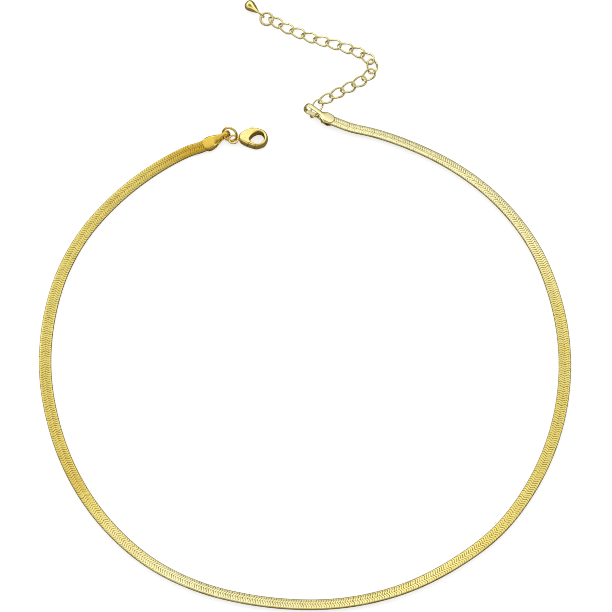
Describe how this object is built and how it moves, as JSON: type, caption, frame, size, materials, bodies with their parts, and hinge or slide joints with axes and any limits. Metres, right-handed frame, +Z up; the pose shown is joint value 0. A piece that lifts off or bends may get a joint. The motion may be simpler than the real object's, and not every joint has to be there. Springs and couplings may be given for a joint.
{
  "type": "herringbone chain necklace",
  "caption": "Flat herringbone weave necklace laid open in a loop, with leaf end caps, a lobster clasp and a fine curb extender that ends in a ring and a teardrop.",
  "frame": {"origin": "centre of the bounding box at the height of the table the necklace lies on", "axes": "+Z up off the table, +Y from the bottom of the loop towards the clasp and the extender, +X to the right of the picture"},
  "size_m": [0.1318, 0.1643, 0.0043],
  "materials": {
    "band_gold": "gold-plated brass, bright woven surface",
    "polished_gold": "gold-plated brass, polished",
    "link_gold": "gold-plated brass wire, polished"
  },
  "bodies": {
    "necklace": {"chain_band": "band_gold", "end_cap_left": "polished_gold", "end_cap_right": "polished_gold", "clasp_ring": "polished_gold", "clasp_body": "polished_gold", "clasp_pin": "polished_gold", "extender_link_01": "link_gold", "extender_link_02": "link_gold", "extender_link_03": "link_gold", "extender_link_04": "link_gold", "extender_link_05": "link_gold", "extender_link_06": "link_gold", "extender_link_07": "link_gold", "extender_link_08": "link_gold", "extender_link_09": "link_gold", "extender_link_10": "link_gold", "extender_link_11": "link_gold", "extender_link_12": "link_gold", "extender_link_13": "link_gold", "extender_link_14": "link_gold", "extender_link_15": "link_gold", "extender_link_16": "link_gold", "drop_ring": "polished_gold", "drop": "polished_gold"},
    "trigger": {"clasp_trigger": "polished_gold"}
  },
  "joints": [
    {"name": "trigger_hinge", "type": "hinge", "parent": "necklace", "child": "trigger", "pos_m": [-0.01539, 0.04167, 0.0013], "axis": [0, 0, 1], "range_deg": [0, 24], "stiffness_Nm_per_rad": 0.0004, "springref_deg": -11.46}
  ]
}
